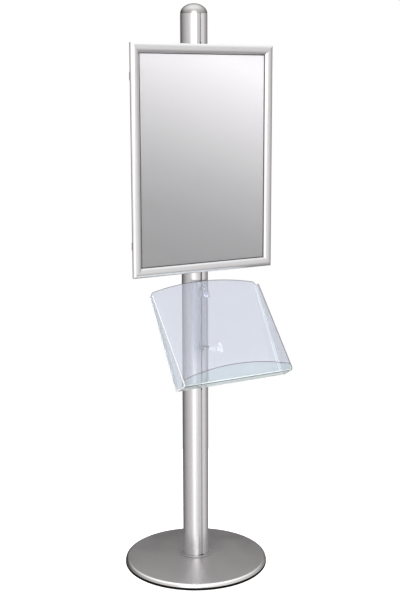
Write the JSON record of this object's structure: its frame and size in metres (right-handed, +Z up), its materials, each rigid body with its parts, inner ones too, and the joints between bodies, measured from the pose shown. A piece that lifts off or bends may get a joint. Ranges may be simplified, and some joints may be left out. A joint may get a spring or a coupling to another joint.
{
  "type": "sign stand",
  "caption": "Free-standing sign stand: a slotted round post on a weighted disc base carries a portrait snap frame and, below it, a tilted clear leaflet tray.",
  "frame": {"origin": "centre of the base pad's underside, on the post's axis", "axes": "+Z up along the post, -Y to the front where the poster faces, +X to the right when looking along +Y"},
  "size_m": [0.652, 0.6426, 2.3333],
  "materials": {
    "anodised_silver": "satin silver anodised extrusion",
    "base_silver": "fine matte silver lacquer",
    "raw_steel": "plain steel",
    "zinc_plated": "bright zinc plated steel",
    "brass": "plain brass",
    "rubber_black": "black anti-slip rubber",
    "slot_filler_grey": "grey flexible plastic",
    "black_plastic": "black moulded plastic",
    "white_plastic": "white moulded plastic",
    "backing_white": "white polystyrene sheet",
    "poster_paper": "plain printed sheet, white fading to grey",
    "clear_cover": "thin clear anti-glare sheet",
    "clear_acrylic": "clear acrylic with bright edges"
  },
  "bodies": {
    "stand": {"base_collar": "base_silver", "base_cover": "base_silver", "base_pad": "rubber_black", "base_plate": "raw_steel", "cap_insert": "black_plastic", "foot_bolt_1": "zinc_plated", "foot_bolt_2": "zinc_plated", "foot_bolt_3": "zinc_plated", "post_cap": "anodised_silver", "post_set_screw": "zinc_plated", "post_spigot": "raw_steel", "post_tube": "anodised_silver", "slot_filler_lower": "slot_filler_grey", "slot_filler_rear": "slot_filler_grey", "slot_filler_upper": "slot_filler_grey"},
    "poster_frame": {"frame_back_bottom": "anodised_silver", "frame_back_left": "anodised_silver", "frame_back_panel": "backing_white", "frame_back_right": "anodised_silver", "frame_back_top": "anodised_silver", "frame_corner_key_1": "zinc_plated", "frame_corner_key_2": "zinc_plated", "frame_corner_key_3": "zinc_plated", "frame_corner_key_4": "zinc_plated", "frame_rail_lower": "anodised_silver", "frame_rail_screw_lower_left": "zinc_plated", "frame_rail_screw_lower_right": "zinc_plated", "frame_rail_screw_upper_left": "zinc_plated", "frame_rail_screw_upper_right": "zinc_plated", "frame_rail_upper": "anodised_silver", "frame_slot_nut_lower": "zinc_plated", "frame_slot_nut_upper": "zinc_plated", "frame_slot_screw_lower": "zinc_plated", "frame_slot_screw_upper": "zinc_plated", "frame_spacer_lower": "black_plastic", "frame_spacer_upper": "black_plastic", "frame_spring_bottom": "zinc_plated", "frame_spring_left": "zinc_plated", "frame_spring_right": "zinc_plated", "frame_spring_top": "zinc_plated", "poster": "poster_paper", "cover_sheet": "clear_cover"},
    "tray": {"tray_arm": "black_plastic", "tray_arm_foot": "white_plastic", "tray_arm_fork": "white_plastic", "tray_arm_pin": "brass", "tray_screw_lower": "zinc_plated", "tray_screw_upper": "zinc_plated", "tray_sheet": "clear_acrylic", "tray_side_left": "clear_acrylic", "tray_side_right": "clear_acrylic", "tray_slot_nut": "zinc_plated", "tray_slot_screw": "zinc_plated", "tray_wedge": "clear_acrylic"},
    "snap_top": {"frame_snap_top": "anodised_silver"},
    "snap_bottom": {"frame_snap_bottom": "anodised_silver"},
    "snap_left": {"frame_snap_left": "anodised_silver"},
    "snap_right": {"frame_snap_right": "anodised_silver"}
  },
  "joints": [
    {"name": "frame_height", "type": "slide", "parent": "stand", "child": "poster_frame", "axis": [0, 0, 1], "range_m": [0, 0.1]},
    {"name": "tray_height", "type": "slide", "parent": "stand", "child": "tray", "axis": [0, 0, 1], "range_m": [-0.15, 0]},
    {"name": "open_snap_top", "type": "hinge", "parent": "poster_frame", "child": "snap_top", "pos_m": [0, -0.076, 2.175], "axis": [-1, 0, 0], "range_deg": [0, 90]},
    {"name": "open_snap_bottom", "type": "hinge", "parent": "poster_frame", "child": "snap_bottom", "pos_m": [0, -0.076, 1.273], "axis": [1, 0, 0], "range_deg": [0, 90]},
    {"name": "open_snap_left", "type": "hinge", "parent": "poster_frame", "child": "snap_left", "pos_m": [-0.326, -0.076, 1.724], "axis": [0, 0, -1], "range_deg": [0, 90]},
    {"name": "open_snap_right", "type": "hinge", "parent": "poster_frame", "child": "snap_right", "pos_m": [0.326, -0.076, 1.724], "axis": [0, 0, 1], "range_deg": [0, 90]}
  ]
}
